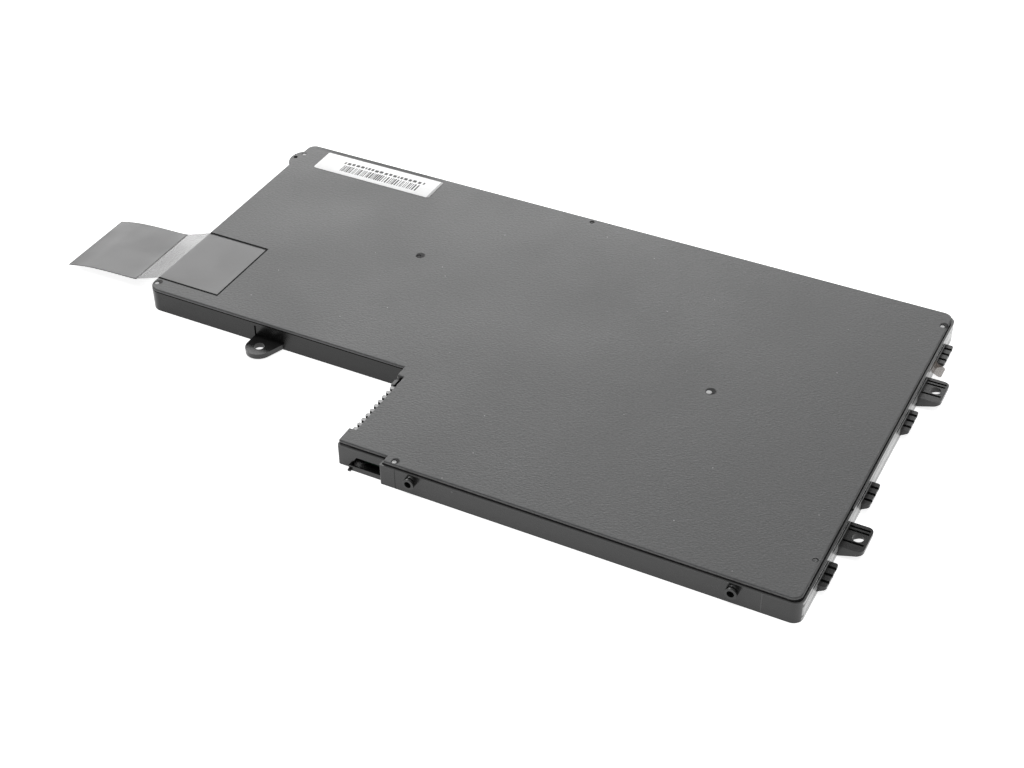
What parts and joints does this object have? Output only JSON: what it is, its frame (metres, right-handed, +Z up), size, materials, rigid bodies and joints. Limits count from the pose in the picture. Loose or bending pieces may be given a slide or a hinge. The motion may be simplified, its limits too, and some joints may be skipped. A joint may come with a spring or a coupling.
{
  "type": "laptop battery",
  "caption": "Flat internal laptop battery pack: L-shaped moulded housing with a comb connector in its notch, screw lugs and grips on one side, locating pegs and a film pull tab.",
  "frame": {"origin": "middle of the tray's full rectangle, on its flat underside", "axes": "+X along the long side towards the wall with the screw lugs, +Y towards the wall across from the notch, +Z up out of the cover"},
  "size_m": [0.2799, 0.1418, 0.0082],
  "materials": {
    "housing": "matte, fine grain",
    "connector": "satin",
    "chip": "matte",
    "fuse_body": "satin",
    "cell_foil": "satin",
    "cell_tape": "satin",
    "nickel": "satin",
    "board": "gloss",
    "contact_metal": "polished",
    "label_paper": "satin",
    "film": "satin",
    "old_tape": "satin"
  },
  "bodies": {
    "root": {"tray": "housing", "cover": "housing", "cell_1": "cell_foil", "cell_2": "cell_foil", "cell_3": "cell_foil", "cell_4": "cell_foil", "tape_1": "cell_tape", "tape_2": "cell_tape", "tape_3": "cell_tape", "tape_4": "cell_tape", "cell_tab_1": "nickel", "cell_tab_2": "nickel", "cell_tab_3": "nickel", "cell_tab_4": "nickel", "cell_tab_5": "nickel", "cell_tab_6": "nickel", "cell_tab_7": "nickel", "cell_tab_8": "nickel", "strip_1": "nickel", "strip_2": "nickel", "strip_3": "nickel", "strip_4": "nickel", "circuit_board": "board", "gauge_chip": "chip", "mosfet_1": "chip", "mosfet_2": "chip", "fuse": "fuse_body", "sense_resistor": "chip", "thermistor": "chip", "contact_1": "contact_metal", "contact_2": "contact_metal", "contact_3": "contact_metal", "contact_4": "contact_metal", "contact_5": "contact_metal", "contact_6": "contact_metal", "contact_7": "contact_metal", "contact_8": "contact_metal", "contact_9": "contact_metal", "connector_housing": "connector", "label": "label_paper", "pull_tab": "film", "tape_scrap": "old_tape"}
  },
  "joints": []
}
